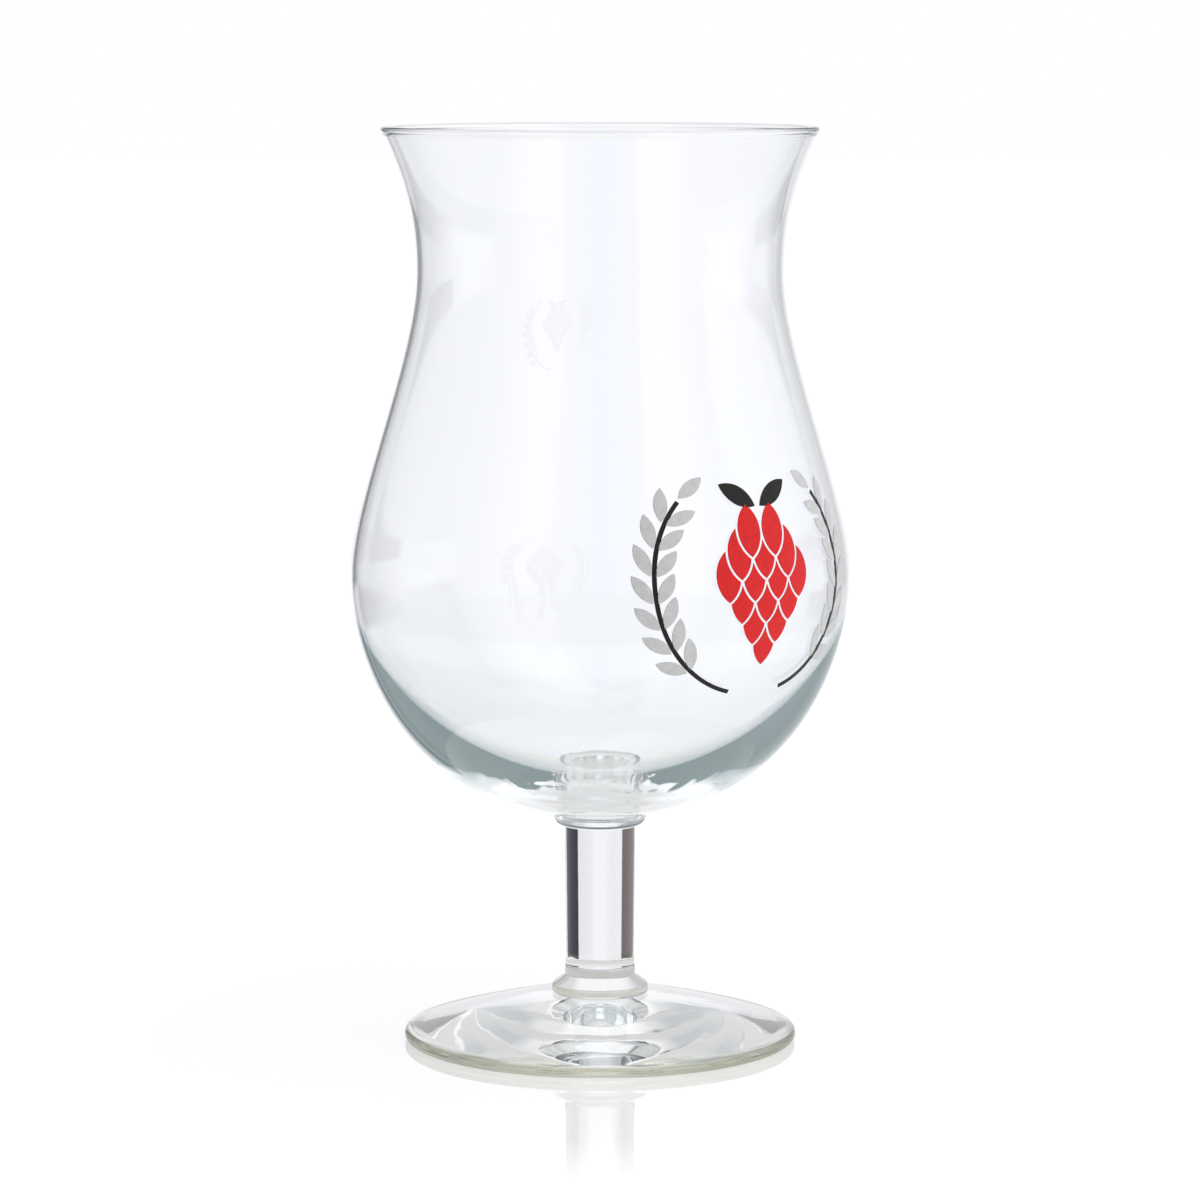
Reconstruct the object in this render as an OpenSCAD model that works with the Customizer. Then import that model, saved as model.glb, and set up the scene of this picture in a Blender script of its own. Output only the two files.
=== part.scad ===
// Stemmed tulip beer glass: five pieces of glass joined hot, and a three-colour enamel print on the bowl.
// Lengths are in millimetres and angles in degrees. The glass stands on z = 0 with its axis on z,
// and its front faces -y.

/* [Foot] */
// Diameter of the foot
foot_d = 71; // [56:0.5:90]
// Height of the foot where the lower collar stands on it
foot_h = 8.4; // [6:0.1:14]
// Thickness of the round edge of the foot
foot_edge_t = 2.2; // [1.6:0.1:4]
// Slope of the foot's top where it meets the edge
foot_edge_slope = 22; // [0:1:30]
// Width of the flat ring that the glass stands on
foot_ring_w = 2.4; // [1:0.1:6]
// Depth of the hollow under the foot
foot_hollow_h = 2; // [0.3:0.1:2.5]

/* [Collars] */
// Diameter of the collar between stem and foot
lower_collar_d = 17.5; // [17.2:0.1:24]
// Height of the collar between stem and foot
lower_collar_h = 3.4; // [2.5:0.1:8]
// Diameter of the lower collar where its shoulder starts to slope
lower_shoulder_d = 16.8; // [14:0.1:17.2]
// Diameter of the collar between bowl and stem
upper_collar_d = 16.7; // [15.5:0.1:24]
// Height of the collar between bowl and stem
upper_collar_h = 2.7; // [2:0.1:8]

/* [Stem] */
// Length of the stem between its collars
stem_l = 27.3; // [12:0.1:70]
// Diameter of the stem above its ring
stem_d = 12.4; // [9:0.1:13.2]
// Diameter of the stem under the upper collar
stem_top_d = 12.9; // [9.5:0.1:13.6]
// Height of the slight ring at the stem's lower end
stem_ring_h = 1.9; // [1:0.1:4]
// How far that ring stands out
stem_ring_out = 0.15; // [0.05:0.01:0.3]

/* [Bowl] */
// Height of the bowl from the upper collar to the lip
bowl_h = 123.2; // [114:0.2:150]
// Diameter of the bowl at its belly
belly_d = 89.8; // [80:0.2:104]
// Height of the belly above the upper collar
belly_h = 43; // [38:0.2:50]
// Diameter of the bowl at its waist
waist_d = 65.8; // [54:0.2:74]
// Height of the waist above the upper collar
waist_h = 97.5; // [88:0.2:104]
// Diameter of the bowl at its lip
rim_d = 78.2; // [70:0.2:90]
// Angle of the flare at the lip, from upright
flare_angle = 25.5; // [15:0.5:32]
// Slope at which the bowl rises from the upper collar
base_angle = 7.5; // [0:0.5:14]
// Thickness of the bowl's wall
wall = 1; // [0.8:0.1:1.6]
// Thickness of the glass under the bowl's inside
floor_t = 3.7; // [2.5:0.1:6]
// Thickness of the bead that rounds the lip
lip_t = 1.2; // [1.1:0.1:2]

/* [Print] */
// Thickness of the fired enamel
film_t = 0.1; // [0.05:0.01:0.2]
// Turn of the print's centre to the right of the front
print_angle = 40; // [0:1:75]
// Height of the print's centre above the upper collar
print_h = 46; // [42:0.5:52]
// Radius of the wreath of two ears around the cone
wreath_r = 20; // [18:0.5:21]
// Distance of each half of the wreath from the print's centre line
wreath_split = 1; // [0.4:0.1:2]
// Length of a grain in the ears
grain_l = 5.8; // [4.5:0.1:6]
// Width of a grain in the ears
grain_w = 2.2; // [1.6:0.1:2.3]
// Width of the stalk that carries the grains
stalk_w = 0.7; // [0.4:0.1:0.9]
// Length of a scale of the hop cone
scale_l = 9; // [7:0.1:10]
// Width of a scale of the hop cone
scale_w = 4.8; // [3.5:0.1:5]
// Gap between scales of the hop cone
scale_gap = 0.5; // [0.3:0.05:1]
// Length of a sepal above the hop cone
sepal_l = 8; // [6:0.1:9]
// Width of a sepal above the hop cone
sepal_w = 3.2; // [2.2:0.1:3.6]

/* [Hidden] */
$fn = 128;

// Steps along each kind of curve
curve_steps = 24;
short_steps = 12;

// Shares of a collar: the half width that lies flat on the foot or bowl, and the heights of its round edges
seat_share = 0.93;
lower_wide_share = 0.2;
lower_shoulder_share = 0.55;
upper_round_share = 0.7;
upper_tuck_share = 0.2;

// Shares of each span that the handles of the glass curves reach
foot_edge_reach_share = 0.1;
foot_top_reach_share = 0.22;
foot_top_drop_share = 0.05;
edge_reach_share = 0.6;
shoulder_reach_share = 0.1;
base_reach_share = 0.76;
belly_below_share = 0.3;
belly_above_share = 0.25;
waist_below_share = 0.275;
waist_above_share = 0.37;
lip_reach_share = 0.37;
floor_reach_share = 0.55;
inner_belly_share = 0.56;

// Heights at which the pieces meet
lower_collar_z = foot_h;
stem_z = lower_collar_z + lower_collar_h;
upper_collar_z = stem_z + stem_l;
bowl_z = upper_collar_z + upper_collar_h;

// Radii of the discs on which the pieces are joined
foot_seat_r = seat_share * lower_collar_d / 2;
stem_r = stem_d / 2;
stem_top_r = stem_top_d / 2;
bowl_seat_r = seat_share * upper_collar_d / 2;

// Radii of the bowl
belly_r = belly_d / 2;
waist_r = waist_d / 2;
lip_r = max(lip_t, wall) / 2;
lip_centre_r = rim_d / 2 - lip_r;
lip_centre_h = bowl_h - lip_r;

// Place of the print: its direction around the axis, and the heights that its film covers
print_dir = print_angle - 90;
film_reach = wreath_r + grain_l;
print_z = bowl_z + print_h;

// The ears: angles of the first and last pair of grains, count of pairs, lean, and ends of the stalk
first_pair = -42;
last_pair = 38;
pair_count = 7;
grain_lean = 30;
stalk_start = -76;
stalk_end = 44;
tip_angle = 54;
grain_side_share = 0.85;

// The hop cone: scales in each row from the top, the share of a scale that shows, and the lean of its sepals
row_counts = [2, 3, 4, 3, 2, 1];
row_step_share = 0.42;
cone_drop_share = 0.05;
sepal_lean = 60;
sepal_side_share = 0.5;

// A point on a cubic curve with two handles
function curve_point(a, b, c, d, t) =
    pow(1 - t, 3) * a + 3 * t * pow(1 - t, 2) * b + 3 * t * t * (1 - t) * c + pow(t, 3) * d;

// The points of such a curve after its first
function curve(a, b, c, d, steps) = [for (i = [1:steps]) curve_point(a, b, c, d, i / steps)];

// The points of an elliptic arc
function arc(centre, rx, rz, from, to, steps) =
    [for (i = [0:steps]) let (t = from + (to - from) * i / steps) centre + [rx * cos(t), rz * sin(t)]];

function reversed(points) = [for (i = [len(points) - 1:-1:0]) points[i]];

// The unit vector that points outward from a curve at one of its points
function outward(points, i) =
    let (d = points[min(i + 1, len(points) - 1)] - points[max(i - 1, 0)]) [d[1], -d[0]] / norm(d);

// The curves that the outside and the inside of the bowl share, moved inward by an inset
function upper_wall(inset) =
    let (
        belly = [belly_r - inset, belly_h],
        waist = [waist_r - inset, waist_h],
        lip = [lip_centre_r + wall / 2 - inset, lip_centre_h],
        rise = waist_h - belly_h,
        flare = lip_reach_share * (lip_centre_h - waist_h) / cos(flare_angle)
    )
    concat(
        curve(
            belly, belly + [0, belly_above_share * rise],
            waist - [0, waist_below_share * rise], waist, curve_steps
        ),
        curve(
            waist, waist + [0, waist_above_share * (lip_centre_h - waist_h)],
            lip - flare * [sin(flare_angle), cos(flare_angle)], lip, curve_steps
        )
    );

bowl_base = [bowl_seat_r, 0];
bowl_belly = [belly_r, belly_h];
base_reach = base_reach_share * (belly_r - bowl_seat_r);
bowl_outside = concat(
    [bowl_base],
    curve(
        bowl_base, bowl_base + base_reach * [cos(base_angle), sin(base_angle)],
        bowl_belly - [0, belly_below_share * belly_h], bowl_belly, curve_steps
    ),
    upper_wall(0)
);

inner_floor = [0, floor_t];
inner_belly = [belly_r - wall, belly_h];
bowl_inside = concat(
    [inner_floor],
    curve(
        inner_floor, inner_floor + [floor_reach_share * belly_r, 0],
        inner_belly - [0, inner_belly_share * (belly_h - floor_t)], inner_belly, curve_steps
    ),
    upper_wall(wall)
);

// A profile turned about the axis, set at a height
module turned(points, z) {
    translate([0, 0, z]) rotate_extrude() polygon(points);
}

module bowl() {
    color("aliceblue", 0.5)
        translate([0, 0, bowl_z])
            rotate_extrude() {
                polygon(concat([[0, 0]], bowl_outside, reversed(bowl_inside)));
                translate([lip_centre_r, lip_centre_h]) circle(lip_r);
            }
}

// A disc with round edges: its lower face takes the stem, and its upper face carries the bowl
module upper_collar() {
    wide_r = upper_collar_d / 2;
    round_h = upper_round_share * upper_collar_h;
    tuck_h = upper_tuck_share * upper_collar_h;
    lower_edge = arc([stem_top_r, round_h], wide_r - stem_top_r, round_h, -90, 0, short_steps);
    upper_edge = arc(
        [bowl_seat_r, upper_collar_h - tuck_h], wide_r - bowl_seat_r, tuck_h, 0, 90, short_steps
    );
    color("lightsteelblue", 0.6)
        turned(concat([[0, 0]], lower_edge, upper_edge, [[0, upper_collar_h]]), upper_collar_z);
}

// A solid rod with a slight ring at its lower end, which widens a little towards the upper collar
module stem() {
    ring = arc([stem_r, stem_ring_h / 2], stem_ring_out, stem_ring_h / 2, -90, 90, short_steps);
    color("lavender", 0.6)
        turned(concat([[0, 0]], ring, [[stem_top_r, stem_l], [0, stem_l]]), stem_z);
}

// A round-edged disc whose sloped shoulder runs up to the stem
module lower_collar() {
    wide_r = lower_collar_d / 2;
    wide_h = lower_wide_share * lower_collar_h;
    wide = [wide_r, wide_h];
    shoulder = [lower_shoulder_d / 2, lower_shoulder_share * lower_collar_h];
    neck = [stem_r, lower_collar_h];
    lower_edge = arc([foot_seat_r, wide_h], wide_r - foot_seat_r, wide_h, -90, 0, short_steps);
    upper_edge = curve(
        wide, wide + [0, edge_reach_share * (shoulder[1] - wide_h)],
        shoulder - shoulder_reach_share * (neck - shoulder), shoulder, short_steps
    );
    color("lightsteelblue", 0.6)
        turned(concat([[0, 0]], lower_edge, upper_edge, [neck, [0, lower_collar_h]]), lower_collar_z);
}

// A disc with a domed top, a round edge and a shallow hollow below
module foot() {
    edge_r = foot_edge_t / 2;
    edge = [foot_d / 2 - edge_r, edge_r];
    ring_r = edge[0] - foot_ring_w;
    hollow = [
        for (i = [0:short_steps])
            let (s = i / short_steps) [ring_r * s, foot_hollow_h * (1 - s * s)]
    ];
    rim = arc(edge, edge_r, edge_r, -90, 90 - foot_edge_slope, short_steps);
    top_start = rim[len(rim) - 1];
    seat = [foot_seat_r, foot_h];
    run = top_start[0] - foot_seat_r;
    rise = foot_h - foot_edge_t;
    top = curve(
        top_start, top_start + foot_edge_reach_share * run * [-cos(foot_edge_slope), sin(foot_edge_slope)],
        seat + [foot_top_reach_share * run, -foot_top_drop_share * rise], seat, curve_steps
    );
    color("azure", 0.6)
        turned(concat(hollow, rim, top, [[0, foot_h]]), 0);
}

// The enamel film: a thin skin on the outside of the belly, as high as the print
film_base = [
    for (p = bowl_outside)
        if (abs(p[1] - print_h) < film_reach) p
];
film_face = [for (i = [0:len(film_base) - 1]) film_base[i] + film_t * outward(film_base, i)];

module film() {
    turned(concat(film_base, reversed(film_face)), bowl_z);
}

// Cuts a flat motif out of the film, straight in towards the axis
module printed() {
    intersection() {
        film();
        rotate([0, 0, print_dir])
            translate([0, 0, print_z])
                rotate([90, 0, 90])
                    linear_extrude(belly_d) children();
    }
}

// The radius of the two arcs that make a pointed oval
function oval_r(w, l) = (w * w + l * l) / (4 * w);

// A pointed oval on its centre
module oval(w, l) {
    r = oval_r(w, l);
    intersection() {
        translate([r - w / 2, 0]) circle(r);
        translate([w / 2 - r, 0]) circle(r);
    }
}

// Draws one half of the wreath's parts, and its mirror image
module both_sides() {
    translate([wreath_split, 0]) children();
    mirror([1, 0]) translate([wreath_split, 0]) children();
}

// Grains in pairs along the ear, and one at its tip
module grains() {
    for (i = [0:pair_count - 1], side = [-1, 1]) {
        turn = first_pair + (last_pair - first_pair) * i / (pair_count - 1);
        rotate(turn)
            translate([wreath_r + side * grain_side_share * grain_w, 0])
                rotate(-side * grain_lean) oval(grain_w, grain_l);
    }
    rotate(tip_angle)
        translate([wreath_r, 0]) oval(grain_w, grain_l);
}

// The stalk of an ear, part of a ring
module stalk() {
    outer_r = wreath_r + stalk_w / 2;
    intersection() {
        difference() {
            circle(outer_r);
            circle(wreath_r - stalk_w / 2);
        }
        polygon([
            [0, 0],
            2 * outer_r * [cos(stalk_start), sin(stalk_start)],
            2 * outer_r * [1, 0],
            2 * outer_r * [cos(stalk_end), sin(stalk_end)]
        ]);
    }
}

// Steps between the cone's scales, and the height of its top row
column_step = scale_w + scale_gap;
row_step = row_step_share * scale_l;
cone_top = row_step * (len(row_counts) - 1) / 2 - cone_drop_share * wreath_r;

// One row of scales, each grown all round by a margin
module scale_row(row, margin) {
    for (i = [0:row_counts[row] - 1])
        translate([(i - (row_counts[row] - 1) / 2) * column_step, cone_top - row * row_step])
            oval(scale_w + 2 * margin, scale_l + 2 * margin);
}

// The scales lie like tiles: each row is cut back from the rows above it
module cone() {
    for (row = [0:len(row_counts) - 1])
        difference() {
            scale_row(row, 0);
            for (above = [max(row - 2, 0):1:row - 1]) scale_row(above, scale_gap);
        }
}

// Two sepals that spread above the cone
module sepals() {
    sepal_z = cone_top + scale_l / 2 + sepal_w / 2;
    for (side = [-1, 1])
        translate([side * sepal_side_share * sepal_l, sepal_z])
            rotate(-side * sepal_lean) oval(sepal_w, sepal_l);
}

module print_grey() {
    color("gainsboro") printed() both_sides() grains();
}

module print_red() {
    color("firebrick") printed() cone();
}

module print_black() {
    color("black")
        printed() {
            both_sides() stalk();
            sepals();
        }
}

bowl();
upper_collar();
stem();
lower_collar();
foot();
print_grey();
print_red();
print_black();
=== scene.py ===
"""Looks of a stemmed tulip beer glass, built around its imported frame. Lengths are in metres."""

import math

import bpy
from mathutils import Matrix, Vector, noise
from mathutils.geometry import delaunay_2d_cdt


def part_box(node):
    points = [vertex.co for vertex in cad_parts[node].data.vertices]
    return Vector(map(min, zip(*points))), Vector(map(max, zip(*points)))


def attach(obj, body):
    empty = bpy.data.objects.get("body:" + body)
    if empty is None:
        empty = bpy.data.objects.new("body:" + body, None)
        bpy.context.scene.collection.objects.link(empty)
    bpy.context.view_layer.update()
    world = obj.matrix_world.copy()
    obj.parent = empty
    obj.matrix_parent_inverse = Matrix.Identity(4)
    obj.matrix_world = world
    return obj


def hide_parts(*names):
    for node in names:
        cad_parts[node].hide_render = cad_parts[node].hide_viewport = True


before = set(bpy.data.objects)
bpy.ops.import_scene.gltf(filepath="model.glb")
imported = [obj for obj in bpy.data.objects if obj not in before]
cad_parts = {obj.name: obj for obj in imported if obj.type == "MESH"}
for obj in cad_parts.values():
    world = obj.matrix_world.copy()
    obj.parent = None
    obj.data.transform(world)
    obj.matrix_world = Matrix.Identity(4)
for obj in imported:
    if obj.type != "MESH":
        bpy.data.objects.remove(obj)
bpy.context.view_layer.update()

MM = 0.001

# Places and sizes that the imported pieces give
bowl_low, bowl_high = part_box("bowl")
upper_low, upper_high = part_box("upper_collar")
stem_low, stem_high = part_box("stem")
lower_low, lower_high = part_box("lower_collar")
foot_low, foot_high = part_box("foot")
BOWL_Z = bowl_low.z
BOWL_H = bowl_high.z - bowl_low.z
BELLY_R = bowl_high.x
UPPER_Z = upper_low.z
UPPER_H = upper_high.z - upper_low.z
UPPER_R = upper_high.x
STEM_Z = stem_low.z
STEM_L = stem_high.z - stem_low.z
LOWER_Z = lower_low.z
LOWER_H = lower_high.z - lower_low.z
LOWER_R = lower_high.x
FOOT_H = foot_high.z
FOOT_R = foot_high.x

# Bowl: heights above the upper collar
BELLY_H = 43 * MM
WAIST_R = 32.9 * MM
WAIST_H = 97.5 * MM
RIM_R = 39.1 * MM
FLARE = math.radians(25.5)
BASE_SLOPE = math.radians(6.4)
BASE_REACH_SHARE = 0.806
BASE_RISE_SHARE = 0.28
WALL = 1.0 * MM
FLOOR_T = 3.2 * MM
LIP_R = 0.6 * MM
BELLY_UP_SHARE = 0.25
WAIST_DOWN_SHARE = 0.275
WAIST_UP_SHARE = 0.37
LIP_DOWN_SHARE = 0.37
BEAD_START = -50
BEAD_CLEAR_SHARE = 1.02
FLOOR_REACH = 22.3 * MM
FLOOR_RISE = 19 * MM
FLOOR_JOIN_H = 36.6 * MM
THICK_H = 36 * MM

# Collars, stem and foot
SEAT_SHARE = 0.93
BOWL_SEAT_SHARE = 0.98
STEM_R = 6.2 * MM
STEM_TOP_R = 6.45 * MM
STEM_RING_H = 1.9 * MM
STEM_RING_OUT = 0.15 * MM
UPPER_ROUND_SHARE = 0.7
UPPER_TUCK_SHARE = 0.2
LOWER_SHOULDER_R = 8.4 * MM
LOWER_WIDE_SHARE = 0.2
LOWER_SHOULDER_SHARE = 0.55
LOWER_ROUND_SHARE = 0.6
SHOULDER_TURN_SHARE = 0.1
FOOT_EDGE_R = 1.1 * MM
FOOT_EDGE_SLOPE = 22
FOOT_RING_W = 2.4 * MM
FOOT_HOLLOW_H = 2 * MM
FOOT_EDGE_REACH_SHARE = 0.1
FOOT_SEAT_REACH_SHARE = 0.22
FOOT_SEAT_DROP_SHARE = 0.05
BOWL_SEAT_R = BOWL_SEAT_SHARE * UPPER_R
FOOT_SEAT_R = SEAT_SHARE * LOWER_R

# Ripples that making leaves in the glass: under the bowl, on the stem and under the foot
BASE_RIPPLE = 0.03 * MM
BASE_RIPPLE_L = 2.2 * MM
BASE_RIPPLE_COUNT = 4
BASE_RIPPLE_RADII = (8.2 * MM, 9.5 * MM, 20 * MM, 27 * MM)
STEM_RIPPLE = 0.004 * MM
STEM_RIPPLE_L = 1.6 * MM
FOOT_RIPPLE = 0.018 * MM
FOOT_RIPPLE_COUNT = 7
FOOT_RIPPLE_RADII = (4 * MM, 16 * MM, 27 * MM, 31 * MM)

# Steps of the turned meshes
SEGMENTS = 256
CURVE_STEPS = 72
BASE_STEPS = 200
SHORT_STEPS = 20
OVAL_STEPS = 14
STALK_STEPS = 60
CORNER = math.radians(25)
REPEAT = 1e-7
ON_AXIS = 1e-9
FILL_TOLERANCE = 1e-4

# Print
PRINT_TURN = math.radians(-50)
PRINT_Z = BOWL_Z + 46 * MM
FILM_T = 0.1 * MM
FILM_SINK = 0.02 * MM
MESH_STEP = 0.7 * MM
WREATH_R = 20 * MM
WREATH_SPLIT = 1 * MM
GRAIN_L = 5.8 * MM
GRAIN_W = 2.2 * MM
GRAIN_SIDE_SHARE = 0.85
GRAIN_LEAN = 30
FIRST_PAIR = -42
LAST_PAIR = 38
PAIR_COUNT = 7
TIP_TURN = 54
STALK_W = 0.7 * MM
STALK_START = -76
STALK_END = 44
SCALE_L = 9 * MM
SCALE_W = 4.8 * MM
SCALE_GAP = 0.5 * MM
ROW_COUNTS = (2, 3, 4, 3, 2, 1)
ROW_STEP_SHARE = 0.42
CONE_DROP_SHARE = 0.05
SEPAL_L = 8 * MM
SEPAL_W = 3.2 * MM
SEPAL_LEAN = 60
SEPAL_SIDE_SHARE = 0.5

# Enamel: each ink's two shades, and its roughness
GREY_INK = ((0.54, 0.545, 0.55), (0.62, 0.625, 0.63), 0.35)
RED_INK = ((0.64, 0.009, 0.012), (0.72, 0.013, 0.016), 0.3)
BLACK_INK = ((0.008, 0.007, 0.007), (0.013, 0.011, 0.011), 0.3)
ENAMEL_SPECULAR = 0.2
CLOUD_SCALE = 900
CLOUD_DETAIL = 4
CLOUD_DARK = 0.3
CLOUD_LIGHT = 0.7
GRAIN_SCALE = 6000
GRAIN_STRENGTH = 0.15
GRAIN_DEPTH = 0.02 * MM
GLOSS_SPREAD = 0.06

# Camera
CAMERA_PLACE = (0, -0.8382, 0.18124)
CAMERA_PITCH = math.radians(6.8834)
CAMERA_LENS = 140.65
CAMERA_SENSOR = 36
CAMERA_CLIP = 0.01

# Bounces of light
ALL_BOUNCES = 40
GLOSSY_BOUNCES = 12
CLEAR_BOUNCES = 32

# Studio
WHITE = (1.0, 1.0, 1.0)
BLACK = (0.0, 0.0, 0.0)
BACKDROP = (1.0, 1.01, 1.06)
TABLE = (0.88, 0.885, 0.92)
SHEET = (0.84, 0.84, 0.87)
MIDDLE = (0.93, 0.935, 0.97)
DARK_LEFT = (0.075, 0.058, 0.05)
DARK_RIGHT = (0.03, 0.024, 0.042)
ROOM = (0.30, 0.32, 0.35)
FILL = (0.55, 0.58, 0.65)
LEFT_BOX = (0.85, 0.8, 0.75)
RIGHT_BOX = (1.35, 1.35, 1.3)
FLAG = (0.02, 0.02, 0.03)
DIM = (0.25, 0.25, 0.25)
GREY = (0.48, 0.49, 0.5)
PALE = (0.7, 0.7, 0.7)
HIGH_DARK = (0.36, 0.4, 0.42)
HIGH_LIT = (0.95, 0.95, 0.96)
GLASS = (0.99, 0.993, 0.996)
GLASS_IOR = 1.52
EDGE_GLASS = (0.72, 0.72, 0.58)
JOINT_TINT = (0.995, 0.998, 0.998)
# Painted glow of the glass: a faint emission that adds up to painted light, most in the thick glass and the
# foot
THIN_PAINTED_GLOW = (0.002, 0.0026, 0.0027)
THICK_PAINTED_GLOW = (0.016, 0.0205, 0.0212)
FOOT_PAINTED_GLOW = (0.013, 0.013, 0.0125)
MAT_R = 80 * MM
MAT = (0.84, 0.82, 0.77)
# Painted shade on the glowing mat: darker under the foot and in a ring round it
MAT_PAINTED_SHADE_UNDER_FOOT = (0.52, 0.52, 0.5)
MAT_SHADE = (0.68, 0.69, 0.69)
FRONT_LIMIT = (0.97, 0.97, 0.98)

# Floor: its gloss fades away from the axis, and a glowing mat round the foot shows only through the glass,
# with painted shade under the foot and in a ring round it
FLOOR_HALF = 6
FLOOR_DROP = 0.05 * MM
FLOOR_COLOUR = (0.9, 0.9, 0.9)
FLOOR_GLOW = 1.45
FLOOR_MATT_SHARE = 0.35
FLOOR_IOR = 1.5
FLAT_FRESNEL = 0.3
MIRROR_R = 250 * MM
MIRROR_FADE = ((0.0, 0.45), (0.32, 0.42), (0.40, 0.26), (0.45, 0.12), (0.56, 0))
MIRROR_ROUGHNESS = 0.003
MAT_FADE = (
    (0.9 * FOOT_R / MAT_R, MAT_PAINTED_SHADE_UNDER_FOOT), (1.05 * FOOT_R / MAT_R, MAT_SHADE), (0.75, MAT_SHADE), (0.9, MAT))

# Light of the studio by direction, in degrees to the right of straight back: softboxes at both sides of
# the front, dark flags at the sides and the lit backdrop in the middle
LIGHT_AROUND = (
    (-180, FILL), (-160, LEFT_BOX), (-140, LEFT_BOX), (-116, DIM), (-108, FLAG), (-98, FLAG), (-64, DIM),
    (-45, GREY), (-36, GREY), (-29, DIM), (-25, GREY), (-21, FLAG), (-15, BACKDROP), (12, BACKDROP),
    (20, PALE), (34, GREY), (60, BACKDROP), (100, RIGHT_BOX), (150, RIGHT_BOX), (158, FILL), (180, FILL))

# The same low over the table, where the stem sees it: white sheets with dark cloth between them
LIGHT_LOW = (
    (-180, ROOM), (-116, ROOM), (-110, DARK_LEFT), (-106, BACKDROP), (-74, BACKDROP), (-71, DARK_LEFT),
    (-29.5, DARK_LEFT), (-28.5, SHEET), (-12, SHEET), (-6, MIDDLE), (6, MIDDLE), (12, SHEET), (28.5, SHEET),
    (29.5, DARK_RIGHT), (100, DARK_RIGHT), (110, ROOM), (180, ROOM))

# The same above the lit backdrop, where the thick glass under the bowl and the front of the foot see it
LIGHT_HIGH = (
    (-180, ROOM), (-100, GREY), (-60, GREY), (-45, HIGH_DARK), (-30, HIGH_DARK), (-20, PALE), (-12, HIGH_LIT),
    (11, HIGH_LIT), (16, PALE), (24, PALE), (34, HIGH_DARK), (46, HIGH_DARK), (60, GREY), (100, GREY),
    (180, ROOM))

# Where each of these lights is seen, by direction and by degrees above the horizon
HALF = (0.5, 0.5, 0.5)
FRONT = ((-112, WHITE), (-100, BLACK), (100, BLACK), (112, WHITE))
BEHIND = ((-112, BLACK), (-100, WHITE), (100, WHITE), (112, BLACK))
AHEAD = (
    (-110, BLACK), (-104, WHITE), (-76, WHITE), (-72, BLACK), (-68, BLACK), (-64, WHITE), (64, WHITE),
    (68, BLACK))
SIDE_SHEET = ((-118, BLACK), (-101, HALF), (-95, WHITE), (-85, WHITE), (-79, HALF), (-62, BLACK))
LOW_BAND = ((-16, BLACK), (-13.5, WHITE), (-7.8, WHITE), (-6.8, BLACK))
WALL_BAND = ((-16, BLACK), (-13.5, WHITE), (12, WHITE), (18, BLACK))
HIGH_BAND = ((3, BLACK), (6, WHITE), (38, WHITE), (60, BLACK))
OPEN_THROUGH = ((-90, TABLE), (-14, TABLE), (-9, BACKDROP), (15, BACKDROP), (60, ROOM), (90, ROOM))


# Materials of a turned piece: its polished skin, the thick glass low in the bowl, its fused joints, the edge
# of the foot, which is seen through the width of the glass, and the foot's other faces
# The glass materials glow faintly with painted light, most in the thick glass and the foot
SKIN = 0
THICK = 1
JOINT = 2
EDGE = 3
FOOT = 4


# Profiles

def curve(a, b, c, d, steps=CURVE_STEPS):
    """The points of a cubic curve with two handles, after its first."""
    a, b, c, d = (Vector(p) for p in (a, b, c, d))
    points = []
    for i in range(1, steps + 1):
        t = i / steps
        s = 1 - t
        points.append(s**3 * a + 3 * t * s * s * b + 3 * t * t * s * c + t**3 * d)
    return points


def arc(centre, rx, rz, start, end, steps=SHORT_STEPS):
    """The points of an elliptic arc, with its angles in degrees."""
    points = []
    for i in range(steps + 1):
        t = math.radians(start + (end - start) * i / steps)
        points.append(Vector((centre[0] + rx * math.cos(t), centre[1] + rz * math.sin(t))))
    return points


def upper_wall(inset):
    """The curves from belly to lip, moved inward by an inset."""
    belly = Vector((BELLY_R - inset, BELLY_H))
    waist = Vector((WAIST_R - inset, WAIST_H))
    lip_h = BOWL_H - LIP_R
    lip = Vector((RIM_R - LIP_R + WALL / 2 - inset, lip_h))
    rise = WAIST_H - BELLY_H
    span = lip_h - WAIST_H
    flare = LIP_DOWN_SHARE * span / math.cos(FLARE)
    lean = Vector((math.sin(FLARE), math.cos(FLARE)))
    up = Vector((0, 1))
    shoulder = curve(
        belly, belly + BELLY_UP_SHARE * rise * up, waist - WAIST_DOWN_SHARE * rise * up, waist)
    return shoulder + curve(waist, waist + WAIST_UP_SHARE * span * up, lip - flare * lean, lip)


def lower_wall():
    """The outer curve from the upper collar to the belly."""
    base = Vector((BOWL_SEAT_R, 0))
    belly = Vector((BELLY_R, BELLY_H))
    reach = BASE_REACH_SHARE * (BELLY_R - BOWL_SEAT_R)
    return [base] + curve(
        base, base + reach * Vector((math.cos(BASE_SLOPE), math.sin(BASE_SLOPE))),
        belly - Vector((0, BASE_RISE_SHARE * BELLY_H)), belly, BASE_STEPS)


def bowl_outside():
    return lower_wall() + upper_wall(0)


def bowl_inside():
    """The thick floor up to a join, and the inside of the wall above it."""
    outer = [p for p in lower_wall() if p.y >= FLOOR_JOIN_H]
    wall = []
    for a, b in zip(outer, outer[1:]):
        along = (b - a).normalized()
        wall.append(a + WALL * Vector((-along.y, along.x)))
    join = wall[0]
    along = (wall[1] - join).normalized()
    floor = Vector((0, FLOOR_T))
    thick = curve(floor, floor + Vector((FLOOR_REACH, 0)), join - FLOOR_RISE * along, join)
    return [floor] + thick + wall[1:] + upper_wall(WALL)


def lip_bead():
    """The round bead on the lip, from the outside of the wall over the top to its inside."""
    centre = Vector((RIM_R - LIP_R, BOWL_H - LIP_R))
    return centre, arc(centre, LIP_R, LIP_R, BEAD_START, 180, 2 * SHORT_STEPS)


def outside_bead(points, centre):
    return [p for p in points if (p - centre).length > BEAD_CLEAR_SHARE * LIP_R]


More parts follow.
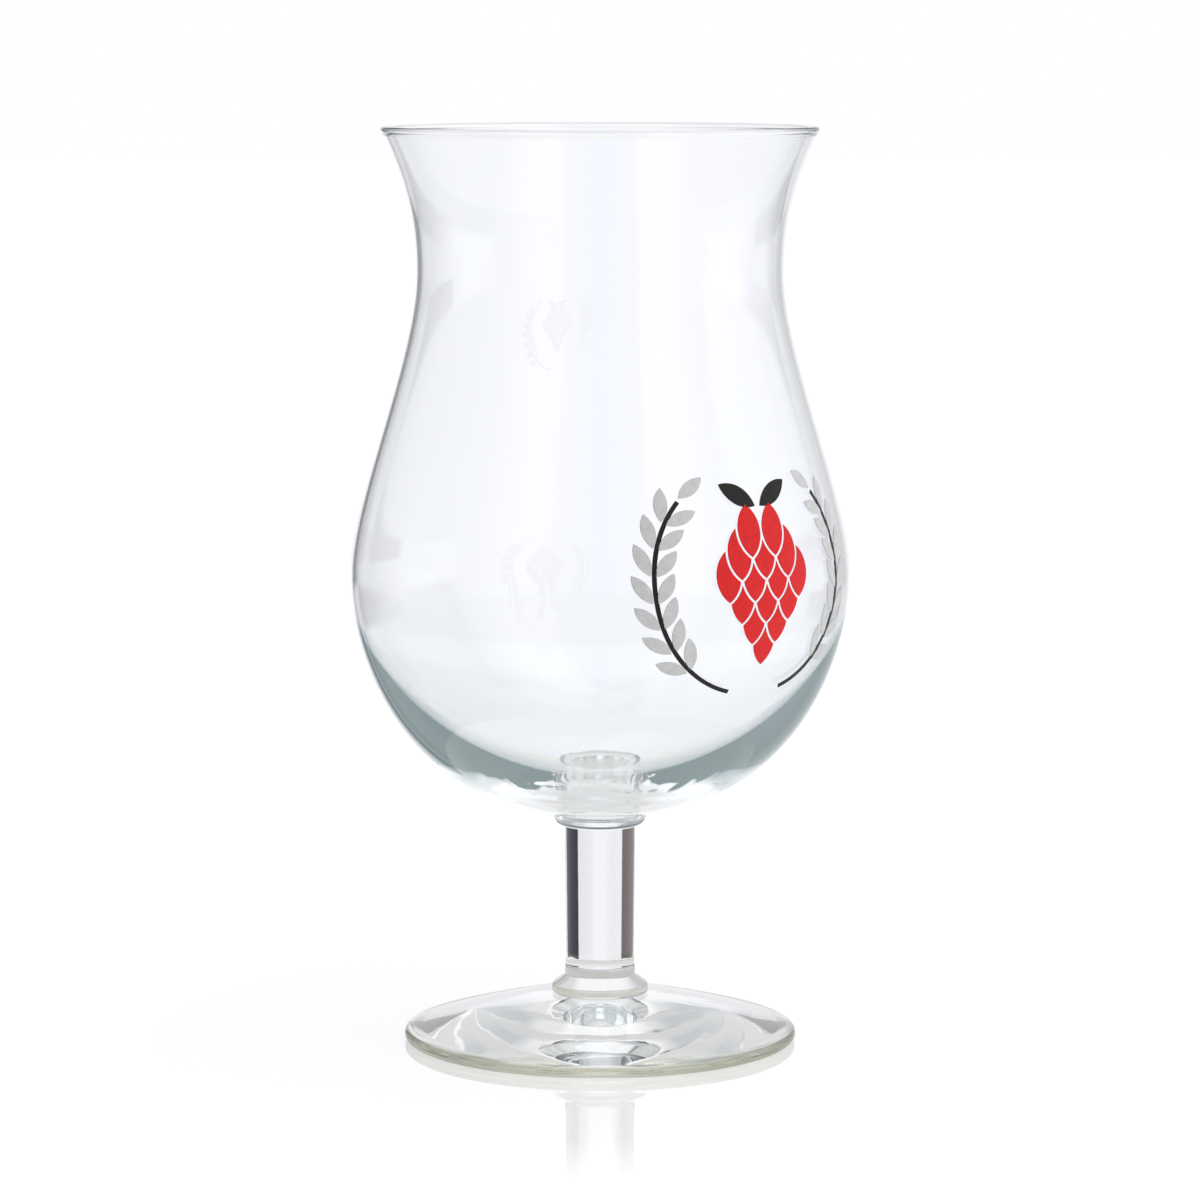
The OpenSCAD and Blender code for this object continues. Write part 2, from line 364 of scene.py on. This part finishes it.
def bowl_runs():
    centre, bead = lip_bead()
    outside = outside_bead(bowl_outside(), centre)
    inside = outside_bead(bowl_inside(), centre)
    thick_outside = [p for p in outside if p.y <= THICK_H]
    thick_inside = [p for p in inside if p.y <= THICK_H]
    wall = outside[len(thick_outside) - 1:] + bead + inside[:len(thick_inside) - 2:-1]
    return [
        (JOINT, [Vector((0, 0)), outside[0]]),
        (THICK, thick_outside, base_ripple),
        (SKIN, wall),
        (THICK, thick_inside[::-1]),
    ]


def upper_collar_runs():
    round_h = UPPER_ROUND_SHARE * UPPER_H
    tuck_h = UPPER_TUCK_SHARE * UPPER_H
    side = arc((STEM_TOP_R, round_h), UPPER_R - STEM_TOP_R, round_h, -90, 0)
    side += arc((BOWL_SEAT_R, UPPER_H - tuck_h), UPPER_R - BOWL_SEAT_R, tuck_h, 0, 90)
    return plug(side, UPPER_H, even)


def stem_runs():
    side = arc((STEM_R, STEM_RING_H / 2), STEM_RING_OUT, STEM_RING_H / 2, -90, 90)
    low, top = side[-1], Vector((STEM_TOP_R, STEM_L))
    side += [low.lerp(top, i / CURVE_STEPS) for i in range(1, CURVE_STEPS + 1)]
    return plug(side, STEM_L, stem_ripple)


def lower_collar_runs():
    wide = Vector((LOWER_R, LOWER_WIDE_SHARE * LOWER_H))
    shoulder = Vector((LOWER_SHOULDER_R, LOWER_SHOULDER_SHARE * LOWER_H))
    neck = Vector((STEM_R, LOWER_H))
    side = arc((FOOT_SEAT_R, wide.y), LOWER_R - FOOT_SEAT_R, wide.y, -90, 0)
    side += curve(
        wide, wide + Vector((0, LOWER_ROUND_SHARE * (shoulder.y - wide.y))),
        shoulder - SHOULDER_TURN_SHARE * (neck - shoulder), shoulder, SHORT_STEPS)
    side += [shoulder.lerp(neck, i / SHORT_STEPS) for i in range(1, SHORT_STEPS + 1)]
    return plug(side, LOWER_H, even)


def foot_runs():
    edge = Vector((FOOT_R - FOOT_EDGE_R, FOOT_EDGE_R))
    ring_r = edge.x - FOOT_RING_W
    below = []
    for i in range(CURVE_STEPS + 1):
        s = i / CURVE_STEPS
        below.append(Vector((ring_r * s, FOOT_HOLLOW_H * (1 - s * s))))
    edge_side = arc(edge, FOOT_EDGE_R, FOOT_EDGE_R, -90, 90 - FOOT_EDGE_SLOPE)
    start = edge_side[-1]
    seat = Vector((FOOT_SEAT_R, FOOT_H))
    run = start.x - seat.x
    rise = FOOT_H - 2 * FOOT_EDGE_R
    slope = math.radians(FOOT_EDGE_SLOPE)
    above = [start] + curve(
        start, start + FOOT_EDGE_REACH_SHARE * run * Vector((-math.cos(slope), math.sin(slope))),
        seat + Vector((FOOT_SEAT_REACH_SHARE * run, -FOOT_SEAT_DROP_SHARE * rise)), seat)
    return [
        (FOOT, below, foot_ripple),
        (FOOT, [below[-1], edge_side[0]]),
        (EDGE, edge_side),
        (FOOT, above),
        (JOINT, [seat, Vector((0, FOOT_H))]),
    ]


def plug(side, height, ripple):
    """A turned piece between two joints."""
    return [
        (JOINT, [Vector((0, 0)), side[0]]),
        (SKIN, side, ripple),
        (JOINT, [side[-1], Vector((0, height))]),
    ]


# Ripples: each gives the way that a point of a profile moves at an angle about the axis

def fade(r, radii):
    """From 0 up to 1 between the first two radii, and down again between the last two."""
    low, full, last, end = radii
    rise = min(max((r - low) / (full - low), 0), 1)
    fall = min(max((end - r) / (end - last), 0), 1)
    return rise * fall


def base_ripple(p, t):
    place = Vector((BASE_RIPPLE_COUNT * math.cos(t), BASE_RIPPLE_COUNT * math.sin(t), p.x / BASE_RIPPLE_L))
    return Vector((0, BASE_RIPPLE * fade(p.x, BASE_RIPPLE_RADII) * noise.noise(place)))


def stem_ripple(p, t):
    place = Vector((p.x * math.cos(t), p.x * math.sin(t), p.y)) / STEM_RIPPLE_L
    return Vector((STEM_RIPPLE * noise.noise(place), 0))


def foot_ripple(p, t):
    around = FOOT_RIPPLE_COUNT * Vector((math.cos(t), math.sin(t), p.x / FOOT_R))
    return Vector((0, FOOT_RIPPLE * fade(p.x, FOOT_RIPPLE_RADII) * noise.noise(around)))


def even(p, t):
    return Vector((0, 0))


# Turned meshes

def without_repeats(points):
    kept = [points[0]]
    for p in points[1:]:
        if (p - kept[-1]).length > REPEAT:
            kept.append(p)
    return kept


def turned(name, runs, z, materials):
    """A closed mesh turned about the axis. Each run of the profile has a material, and corners are sharp."""
    verts, faces, slots, rings, profile = [], [], [], [], []
    for slot, points, *rest in runs:
        ripple = rest[0] if rest else even
        points = without_repeats(points)
        if rings:
            points = points[1:]
        for p in points:
            profile.append(p)
            if p.x < ON_AXIS:
                ring = [len(verts)] * SEGMENTS
                verts.append((0, 0, z + p.y))
            else:
                ring = list(range(len(verts), len(verts) + SEGMENTS))
                for j in range(SEGMENTS):
                    t = 2 * math.pi * j / SEGMENTS
                    q = p + ripple(p, t)
                    verts.append((q.x * math.cos(t), q.x * math.sin(t), z + q.y))
            if rings:
                last = rings[-1]
                for j in range(SEGMENTS):
                    k = (j + 1) % SEGMENTS
                    corners = [last[j], last[k], ring[k], ring[j]]
                    faces.append(list(dict.fromkeys(corners)))
                    slots.append(slot)
            rings.append(ring)
    mesh = bpy.data.meshes.new(name)
    mesh.from_pydata(verts, [], faces)
    for material in materials:
        mesh.materials.append(material)
    mesh.polygons.foreach_set("material_index", slots)
    mesh.shade_smooth()
    corners = [
        i for i in range(1, len(profile) - 1)
        if (profile[i] - profile[i - 1]).angle(profile[i + 1] - profile[i]) > CORNER]
    where = {v: i for i in corners for v in rings[i]}
    for edge in mesh.edges:
        a, b = edge.vertices
        if a in where and where.get(b) == where[a]:
            edge.use_edge_sharp = True
    mesh.validate()
    return add(name, mesh)


def add(name, mesh):
    made = bpy.data.objects.new(name, mesh)
    bpy.context.scene.collection.objects.link(made)
    return made


# Flat motifs of the print

def oval(w, l, steps=OVAL_STEPS):
    """A pointed oval on its centre, between two arcs."""
    r = (w * w + l * l) / (4 * w)
    half = math.degrees(math.asin(l / 2 / r))
    right = arc((w / 2 - r, 0), r, r, -half, half, steps)
    left = arc((r - w / 2, 0), r, r, 180 - half, 180 + half, steps)
    return right[:-1] + left[:-1]


def turn(points, degrees):
    c, s = math.cos(math.radians(degrees)), math.sin(math.radians(degrees))
    return [Vector((c * p.x - s * p.y, s * p.x + c * p.y)) for p in points]


def move(points, x, y):
    return [p + Vector((x, y)) for p in points]


def both_sides(outlines):
    """Each outline moved off the centre line, and its mirror image."""
    right = [move(points, WREATH_SPLIT, 0) for points in outlines]
    left = [[Vector((-p.x, p.y)) for p in reversed(points)] for points in right]
    return right + left


def grains():
    outlines = []
    for i in range(PAIR_COUNT):
        place = FIRST_PAIR + (LAST_PAIR - FIRST_PAIR) * i / (PAIR_COUNT - 1)
        for side in (-1, 1):
            grain = turn(oval(GRAIN_W, GRAIN_L), -side * GRAIN_LEAN)
            outlines.append(turn(move(grain, WREATH_R + side * GRAIN_SIDE_SHARE * GRAIN_W, 0), place))
    outlines.append(turn(move(oval(GRAIN_W, GRAIN_L), WREATH_R, 0), TIP_TURN))
    return both_sides(outlines)


def stalks():
    outer_r = WREATH_R + STALK_W / 2
    inner_r = WREATH_R - STALK_W / 2
    outer = arc((0, 0), outer_r, outer_r, STALK_START, STALK_END, STALK_STEPS)
    inner = arc((0, 0), inner_r, inner_r, STALK_END, STALK_START, STALK_STEPS)
    return both_sides([outer + inner])


ROW_STEP = ROW_STEP_SHARE * SCALE_L
CONE_TOP = ROW_STEP * (len(ROW_COUNTS) - 1) / 2 - CONE_DROP_SHARE * WREATH_R


def scale_row(row, margin):
    count = ROW_COUNTS[row]
    shape = oval(SCALE_W + 2 * margin, SCALE_L + 2 * margin)
    return [
        move(shape, (i - (count - 1) / 2) * (SCALE_W + SCALE_GAP), CONE_TOP - row * ROW_STEP)
        for i in range(count)]


def scales():
    """Each scale with the outlines above that cut it back, like tiles."""
    cut = []
    for row in range(len(ROW_COUNTS)):
        above = [o for r in range(max(row - 2, 0), row) for o in scale_row(r, SCALE_GAP)]
        cut += [(shape, above) for shape in scale_row(row, 0)]
    return cut


def sepals():
    z = CONE_TOP + SCALE_L / 2 + SEPAL_W / 2
    return [
        move(turn(oval(SEPAL_W, SEPAL_L), -side * SEPAL_LEAN), side * SEPAL_SIDE_SHARE * SEPAL_L, z)
        for side in (-1, 1)]


# The film of enamel

OUTSIDE = bowl_outside()


def wall_at(height):
    """The outer radius of the bowl at a height above its base, and how it slopes there."""
    for a, b in zip(OUTSIDE, OUTSIDE[1:]):
        if a.y <= height <= b.y:
            slope = (b.x - a.x) / (b.y - a.y)
            return a.x + slope * (height - a.y), slope
    raise ValueError("the print reaches past the bowl")


def on_bowl(p, lift):
    """The place of a flat point of the print on the bowl, lifted off the glass."""
    height = PRINT_Z - BOWL_Z + p.y
    r, slope = wall_at(height)
    out = lift / math.hypot(1, slope)
    r += out
    depth = math.sqrt(r * r - p.x * p.x)
    c, s = math.cos(PRINT_TURN), math.sin(PRINT_TURN)
    return (depth * c - p.x * s, depth * s + p.x * c, BOWL_Z + height - out * slope)


def fill(outline, cutters):
    """Triangles that fill an outline outside the cutters, small enough to follow the bowl."""
    points, loops = [], []
    for loop in [outline, *cutters]:
        loops.append(list(range(len(points), len(points) + len(loop))))
        points += loop
    low = Vector((min(p.x for p in outline), min(p.y for p in outline)))
    high = Vector((max(p.x for p in outline), max(p.y for p in outline)))
    for i in range(1, int((high.x - low.x) / MESH_STEP) + 1):
        for j in range(1, int((high.y - low.y) / MESH_STEP) + 1):
            points.append(low + Vector((i * MESH_STEP, j * MESH_STEP)))
    scaled = [p / MM for p in points]
    found, _, triangles, _, _, owners = delaunay_2d_cdt(scaled, [], loops, 1, FILL_TOLERANCE)
    kept = [t for t, owner in zip(triangles, owners) if owner == [0]]
    return [p * MM for p in found], kept


def film(name, shapes, material):
    """One colour of the print: a thin closed layer on the bowl for each shape."""
    verts, faces = [], []
    for outline, cutters in shapes:
        flat, triangles = fill(outline, cutters)
        used = sorted({i for t in triangles for i in t})
        top = {v: len(verts) + i for i, v in enumerate(used)}
        verts += [on_bowl(flat[v], FILM_T) for v in used]
        base = {v: len(verts) + i for i, v in enumerate(used)}
        verts += [on_bowl(flat[v], -FILM_SINK) for v in used]
        edges = {(t[i], t[i - 2]) for t in triangles for i in range(3)}
        faces += [[top[v] for v in t] for t in triangles]
        faces += [[base[v] for v in reversed(t)] for t in triangles]
        faces += [[top[b], top[a], base[a], base[b]] for a, b in edges if (b, a) not in edges]
    mesh = bpy.data.meshes.new(name)
    mesh.from_pydata(verts, [], faces)
    mesh.materials.append(material)
    mesh.validate()
    return add(name, mesh)


# Materials

def nodes_of(owner):
    owner.use_nodes = True
    tree = owner.node_tree
    tree.nodes.clear()
    return tree


def new_node(tree, kind, **settings):
    made = tree.nodes.new(kind)
    for name, value in settings.items():
        setattr(made, name, value)
    return made


def glass_material(name, painted_glow, tint=GLASS):
    """Polished clear glass, with a faint painted glow: its emission adds up to painted light where light is
    caught in the thick of it.
    """
    material = bpy.data.materials.new(name)
    tree = nodes_of(material)
    shader = new_node(tree, "ShaderNodeBsdfPrincipled")
    shader.inputs["Emission Color"].default_value = (*painted_glow, 1)
    shader.inputs["Emission Strength"].default_value = 1
    shader.inputs["Base Color"].default_value = (*tint, 1)
    shader.inputs["Roughness"].default_value = 0
    shader.inputs["IOR"].default_value = GLASS_IOR
    shader.inputs["Transmission Weight"].default_value = 1
    out = new_node(tree, "ShaderNodeOutputMaterial")
    tree.links.new(shader.outputs[0], out.inputs["Surface"])
    return material


def joint_material():
    """The face where two pieces of glass are fused: light passes straight on."""
    material = bpy.data.materials.new("fused_joint")
    tree = nodes_of(material)
    shader = new_node(tree, "ShaderNodeBsdfTransparent")
    shader.inputs["Color"].default_value = (*JOINT_TINT, 1)
    out = new_node(tree, "ShaderNodeOutputMaterial")
    tree.links.new(shader.outputs[0], out.inputs["Surface"])
    return material


def enamel_material(name, dark, light, roughness):
    """Fired enamel: a satin film with a slightly uneven colour and grain."""
    material = bpy.data.materials.new(name)
    tree = nodes_of(material)
    place = new_node(tree, "ShaderNodeTexCoord")
    cloud = new_node(tree, "ShaderNodeTexNoise")
    cloud.inputs["Scale"].default_value = CLOUD_SCALE
    cloud.inputs["Detail"].default_value = CLOUD_DETAIL
    ramp = new_node(tree, "ShaderNodeValToRGB")
    ramp.color_ramp.elements[0].position = CLOUD_DARK
    ramp.color_ramp.elements[0].color = (*dark, 1)
    ramp.color_ramp.elements[1].position = CLOUD_LIGHT
    ramp.color_ramp.elements[1].color = (*light, 1)
    grain = new_node(tree, "ShaderNodeTexNoise")
    grain.inputs["Scale"].default_value = GRAIN_SCALE
    bump = new_node(tree, "ShaderNodeBump")
    bump.inputs["Strength"].default_value = GRAIN_STRENGTH
    bump.inputs["Distance"].default_value = GRAIN_DEPTH
    gloss = new_node(tree, "ShaderNodeMapRange")
    gloss.inputs["To Min"].default_value = roughness - GLOSS_SPREAD
    gloss.inputs["To Max"].default_value = roughness + GLOSS_SPREAD
    shader = new_node(tree, "ShaderNodeBsdfPrincipled")
    shader.inputs["Specular IOR Level"].default_value = ENAMEL_SPECULAR
    out = new_node(tree, "ShaderNodeOutputMaterial")
    links = tree.links
    links.new(place.outputs["Object"], cloud.inputs["Vector"])
    links.new(place.outputs["Object"], grain.inputs["Vector"])
    links.new(cloud.outputs["Fac"], ramp.inputs["Fac"])
    links.new(cloud.outputs["Fac"], gloss.inputs["Value"])
    links.new(grain.outputs["Fac"], bump.inputs["Height"])
    links.new(ramp.outputs["Color"], shader.inputs["Base Color"])
    links.new(gloss.outputs["Result"], shader.inputs["Roughness"])
    links.new(bump.outputs["Normal"], shader.inputs["Normal"])
    links.new(shader.outputs[0], out.inputs["Surface"])
    return material


# Studio

def ramp_node(tree, source, stops, mode="LINEAR"):
    """A colour ramp with stops given as (place from 0 to 1, colour)."""
    ramp = new_node(tree, "ShaderNodeValToRGB")
    ramp.color_ramp.interpolation = mode
    elements = ramp.color_ramp.elements
    while len(elements) < len(stops):
        elements.new(1)
    for element, (place, colour) in zip(elements, stops):
        element.position = place
        element.color = (*colour, 1)
    tree.links.new(source, ramp.inputs["Fac"])
    return ramp.outputs["Color"]


def azimuth_stops(stops):
    return [((degrees + 180) / 360, colour) for degrees, colour in stops]


def height_stops(stops):
    """Stops given in degrees above the horizon, for the sine of that height mapped to 0 to 1."""
    return [((math.sin(math.radians(degrees)) + 1) / 2, colour) for degrees, colour in stops]


def mix_colour(tree, factor, a, b):
    mix = new_node(tree, "ShaderNodeMix", data_type="RGBA")
    tree.links.new(factor, mix.inputs["Factor"])
    tree.links.new(a, mix.inputs["A"])
    tree.links.new(b, mix.inputs["B"])
    return mix.outputs["Result"]


def math_node(tree, operation, a, b):
    made = new_node(tree, "ShaderNodeMath", operation=operation)
    for socket, value in zip(made.inputs, (a, b)):
        if isinstance(value, (int, float)):
            socket.default_value = value
        else:
            tree.links.new(value, socket)
    return made.outputs[0]


def studio_world():
    world = bpy.data.worlds.new("studio")
    bpy.context.scene.world = world
    tree = nodes_of(world)
    place = new_node(tree, "ShaderNodeTexCoord")
    axes = new_node(tree, "ShaderNodeSeparateXYZ")
    tree.links.new(place.outputs["Generated"], axes.inputs[0])
    around = math_node(tree, "ARCTAN2", axes.outputs["X"], axes.outputs["Y"])
    around = math_node(tree, "MULTIPLY_ADD", around, 1 / (2 * math.pi))
    around.node.inputs[2].default_value = 0.5
    height = math_node(tree, "MULTIPLY_ADD", axes.outputs["Z"], 0.5)
    height.node.inputs[2].default_value = 0.5

    walls = ramp_node(tree, around, azimuth_stops(LIGHT_AROUND))
    low_walls = ramp_node(tree, around, azimuth_stops(LIGHT_LOW))
    low = ramp_node(tree, height, height_stops(LOW_BAND))
    front = ramp_node(tree, around, azimuth_stops(FRONT))
    ahead = ramp_node(tree, around, azimuth_stops(AHEAD))
    low_back = math_node(tree, "MULTIPLY", low, ahead)

    side_sheet = ramp_node(tree, around, azimuth_stops(SIDE_SHEET))
    lit = new_node(tree, "ShaderNodeRGB")
    lit.outputs[0].default_value = (*BACKDROP, 1)
    limit = new_node(tree, "ShaderNodeRGB")
    limit.outputs[0].default_value = (*FRONT_LIMIT, 1)
    limited = mix_colour(tree, front, walls, limit.outputs[0])
    limited.node.blend_type = "DARKEN"
    side_walls = mix_colour(tree, side_sheet, limited, lit.outputs[0])
    banded = mix_colour(tree, low_back, side_walls, low_walls)
    open_through = ramp_node(tree, height, height_stops(OPEN_THROUGH))
    band = ramp_node(tree, height, height_stops(WALL_BAND))
    beyond = mix_colour(tree, front, open_through, limited)
    through = mix_colour(tree, band, beyond, banded)
    above = ramp_node(tree, height, height_stops(HIGH_BAND))
    behind = ramp_node(tree, around, azimuth_stops(BEHIND))
    high_walls = ramp_node(tree, around, azimuth_stops(LIGHT_HIGH))
    through = mix_colour(tree, math_node(tree, "MULTIPLY", above, behind), through, high_walls)

    path = new_node(tree, "ShaderNodeLightPath")
    seen = mix_colour(tree, path.outputs["Is Transmission Ray"], walls, through)
    white = new_node(tree, "ShaderNodeRGB")
    white.outputs[0].default_value = (*WHITE, 1)
    seen = mix_colour(tree, path.outputs["Is Camera Ray"], seen, white.outputs[0])
    light = new_node(tree, "ShaderNodeBackground")
    out = new_node(tree, "ShaderNodeOutputWorld")
    tree.links.new(seen, light.inputs["Color"])
    tree.links.new(light.outputs[0], out.inputs["Surface"])


def floor_material():
    """Pale gloss floor: white to the camera, with the object's shadow and a reflection that fades outward."""
    material = bpy.data.materials.new("pale_floor")
    tree = nodes_of(material)
    links = tree.links
    place = new_node(tree, "ShaderNodeTexCoord")
    distance = new_node(tree, "ShaderNodeVectorMath", operation="LENGTH")
    links.new(place.outputs["Object"], distance.inputs[0])
    distance = distance.outputs["Value"]

    gloss = ramp_node(tree, math_node(tree, "DIVIDE", distance, MIRROR_R), [
        (place, (level, level, level)) for place, level in MIRROR_FADE])
    fresnel = new_node(tree, "ShaderNodeFresnel")
    fresnel.inputs["IOR"].default_value = FLOOR_IOR
    flat = math_node(tree, "DIVIDE", fresnel.outputs[0], FLAT_FRESNEL)
    flat.node.use_clamp = True
    gloss = math_node(tree, "MULTIPLY", gloss, flat)
    glow = new_node(tree, "ShaderNodeEmission")
    glow.inputs["Strength"].default_value = FLOOR_GLOW
    matt = new_node(tree, "ShaderNodeBsdfDiffuse")
    matt.inputs["Color"].default_value = (*FLOOR_COLOUR, 1)
    pale = new_node(tree, "ShaderNodeMixShader")
    pale.inputs[0].default_value = FLOOR_MATT_SHARE
    links.new(glow.outputs[0], pale.inputs[1])
    links.new(matt.outputs[0], pale.inputs[2])
    shine = new_node(tree, "ShaderNodeBsdfGlossy")
    shine.inputs["Roughness"].default_value = MIRROR_ROUGHNESS
    seen = new_node(tree, "ShaderNodeMixShader")
    links.new(gloss, seen.inputs[0])
    links.new(pale.outputs[0], seen.inputs[1])
    links.new(shine.outputs[0], seen.inputs[2])

    # Away from the camera: a glowing mat with painted shade under and round the foot, and clear beyond it
    beyond = math_node(tree, "GREATER_THAN", distance, MAT_R)
    mat_glow = new_node(tree, "ShaderNodeEmission")
    mat = ramp_node(tree, math_node(tree, "DIVIDE", distance, MAT_R), MAT_FADE)
    links.new(mat, mat_glow.inputs["Color"])
    clear = new_node(tree, "ShaderNodeBsdfTransparent")
    near = new_node(tree, "ShaderNodeMixShader")
    links.new(beyond, near.inputs[0])
    links.new(mat_glow.outputs[0], near.inputs[1])
    links.new(clear.outputs[0], near.inputs[2])

    path = new_node(tree, "ShaderNodeLightPath")
    both = new_node(tree, "ShaderNodeMixShader")
    links.new(path.outputs["Is Camera Ray"], both.inputs[0])
    links.new(near.outputs[0], both.inputs[1])
    links.new(seen.outputs[0], both.inputs[2])
    out = new_node(tree, "ShaderNodeOutputMaterial")
    links.new(both.outputs[0], out.inputs["Surface"])
    return material


def studio_floor():
    mesh = bpy.data.meshes.new("floor")
    corners = ((-1, -1), (1, -1), (1, 1), (-1, 1))
    mesh.from_pydata([(x * FLOOR_HALF, y * FLOOR_HALF, -FLOOR_DROP) for x, y in corners], [], [[0, 1, 2, 3]])
    mesh.materials.append(floor_material())
    floor = add("floor", mesh)


def studio_camera():
    data = bpy.data.cameras.new("camera")
    data.lens = CAMERA_LENS
    data.sensor_width = CAMERA_SENSOR
    data.clip_start = CAMERA_CLIP
    camera = bpy.data.objects.new("camera", data)
    bpy.context.scene.collection.objects.link(camera)
    camera.location = CAMERA_PLACE
    camera.rotation_euler = (math.pi / 2 - CAMERA_PITCH, 0, 0)
    bpy.context.scene.camera = camera


def render_settings():
    scene = bpy.context.scene
    scene.view_settings.view_transform = "Standard"
    scene.cycles.max_bounces = ALL_BOUNCES
    scene.cycles.transmission_bounces = CLEAR_BOUNCES
    scene.cycles.glossy_bounces = GLOSSY_BOUNCES
    scene.cycles.transparent_max_bounces = CLEAR_BOUNCES


def dress(piece, node):
    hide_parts(node)
    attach(piece, "root")


def glass():
    # Each glass material glows faintly with painted light, the thick glass and the foot most
    materials = [
        glass_material("clear_glass", THIN_PAINTED_GLOW),
        glass_material("thick_glass", THICK_PAINTED_GLOW),
        joint_material(),
        glass_material("edge_glass", THIN_PAINTED_GLOW, EDGE_GLASS),
        glass_material("foot_glass", FOOT_PAINTED_GLOW),
    ]
    pieces = {
        "bowl": (bowl_runs(), BOWL_Z),
        "upper_collar": (upper_collar_runs(), UPPER_Z),
        "stem": (stem_runs(), STEM_Z),
        "lower_collar": (lower_collar_runs(), LOWER_Z),
        "foot": (foot_runs(), 0),
    }
    for node, (runs, z) in pieces.items():
        dress(turned("glass_" + node, runs, z, materials), node)


def enamel():
    grey = enamel_material("enamel_grey", *GREY_INK)
    red = enamel_material("enamel_red", *RED_INK)
    black = enamel_material("enamel_black", *BLACK_INK)
    dress(film("enamel_grains", [(o, []) for o in grains()], grey), "print_grey")
    dress(film("enamel_cone", scales(), red), "print_red")
    dress(film("enamel_stalks", [(o, []) for o in stalks() + sepals()], black), "print_black")


studio_camera()
studio_world()
studio_floor()
glass()
enamel()
render_settings()
